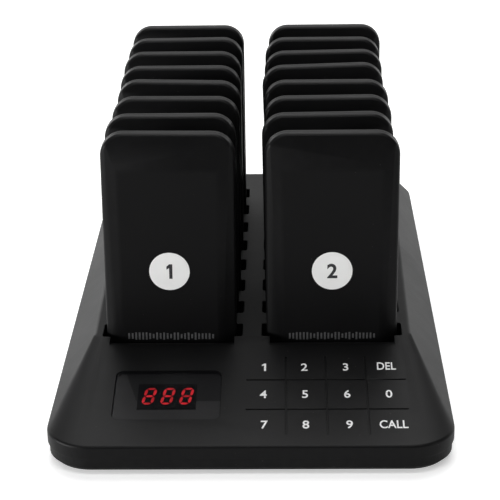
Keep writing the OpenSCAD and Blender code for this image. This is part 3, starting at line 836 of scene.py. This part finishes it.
def build_pager(number, label, ticks):
    body = f"pager_{number:02d}"
    place = panel_place(number)
    for side, panel_depth in (("front", 0.0), ("rear", -PAGER_SIZE.y)):
        node = f"{body}_{side}_cover"
        mesh = softened_mesh(node, pager_steps(place, panel_depth))
        smooth_faces(mesh, 35.0)
        piece = make_piece(f"{body}_{side}_skin", mesh, body, PAGER_PLASTIC, replaced=node)
        keep_flats_flat(piece)
    paint_node(f"{body}_works", WORKS)
    disc = label.copy()
    disc.transform(place @ Matrix.Translation((0.0, LABEL_RISE, 0.05 * MM)))
    make_piece(f"{body}_label", disc, body, LABEL)
    digits = number_mesh(f"{body}_number", str(number), NUMBER_HEIGHT, weight=0.026)
    digits.transform(place @ Matrix.Translation((0.0, LABEL_RISE, 0.115 * MM)))
    make_piece(f"{body}_number", digits, body, NUMBER_INK)
    marks = ticks.copy()
    marks.transform(place @ Matrix.Translation((0.0, MARKS_RISE, 0.015 * MM)))
    make_piece(f"{body}_marks", marks, body, FAINT_INK)


def build_pagers():
    label = disc_mesh("label", radius=7.95 * MM, thickness=0.12 * MM, edge=0.05 * MM)
    ticks = grown_mesh("marks", tick_row_tree(FAINT_INK), {"Ticks": 25, "Row Length": 33.5 * MM})
    for number in PAGERS:
        build_pager(number, label, ticks)


# ---- studio ----

def build_floor():
    mesh = bpy.data.meshes.new("floor")
    reach = 6.0
    mesh.from_pydata([(-reach, -reach, 0), (reach, -reach, 0), (reach, reach, 0), (-reach, reach, 0)],
                     [], [(0, 1, 2, 3)])
    mesh.materials.append(studio_floor())
    floor = bpy.data.objects.new("floor", mesh)
    bpy.context.scene.collection.objects.link(floor)


def add_softbox(name, at, aim, width, height, power):
    light = bpy.data.lights.new(name, "AREA")
    light.shape = "RECTANGLE"
    light.size = width
    light.size_y = height
    light.energy = power
    lamp = bpy.data.objects.new(name, light)
    lamp.location = at
    lamp.rotation_euler = (Vector(aim) - Vector(at)).to_track_quat("-Z", "Y").to_euler()
    bpy.context.scene.collection.objects.link(lamp)


def build_lights():
    world = bpy.data.worlds.new("studio")
    world.use_nodes = True
    backdrop = world.node_tree.nodes["Background"]
    backdrop.inputs[0].default_value = (1.0, 1.0, 1.0, 1.0)
    seen = add(world.node_tree, "ShaderNodeLightPath").outputs["Is Camera Ray"]
    strength = times_plus(world.node_tree, seen, 0.5, 0.1)
    world.node_tree.links.new(strength, backdrop.inputs[1])
    bpy.context.scene.world = world
    centre = (0.0, 0.0, 0.05)
    # name, place, width, height, power
    softboxes = [
        ("overhead", (0.0, 0.8, 1.9), 1.2, 1.4, 25.0),
        ("front_high", (0.0, -0.8, 1.8), 1.6, 0.6, 12.0),
        ("back", (0.0, 2.4, 0.9), 1.6, 1.2, 5.0),
        ("back_left", (-1.5, 2.0, 0.6), 1.6, 1.1, 13.5),
        ("back_right", (1.6, 1.9, 0.6), 1.6, 1.1, 11.0),
        ("left", (-1.65, -0.7, 0.22), 1.2, 0.42, 34.0),
        ("right", (1.7, -0.7, 0.45), 1.0, 0.8, 3.5),
    ]
    for name, at, width, height, power in softboxes:
        add_softbox(name, at, centre, width, height, power)


def build_camera():
    """The eye stands in front of the apron, a little to the right, and looks down."""
    yaw, pitch, roll = -0.0239016, 0.396524, -0.015143
    forward = Vector((math.sin(yaw) * math.cos(pitch), math.cos(yaw) * math.cos(pitch), -math.sin(pitch)))
    level = Vector((math.cos(yaw), -math.sin(yaw), 0.0))
    upright = level.cross(forward)
    right = math.cos(roll) * level + math.sin(roll) * upright
    up = math.cos(roll) * upright - math.sin(roll) * level
    data = bpy.data.cameras.new("eye")
    data.lens = 120.887
    data.sensor_width = 36.0
    data.clip_end = 50.0
    eye = bpy.data.objects.new("eye", data)
    turn = Matrix((right, up, -forward)).transposed().to_4x4()
    eye.matrix_world = Matrix.Translation((14.105 * MM, cad_low.y - 536.82 * MM, 314.975 * MM)) @ turn
    bpy.context.scene.collection.objects.link(eye)
    bpy.context.scene.camera = eye


build_base()
build_pagers()
build_floor()
build_lights()
build_camera()
bpy.context.scene.view_settings.view_transform = "Standard"
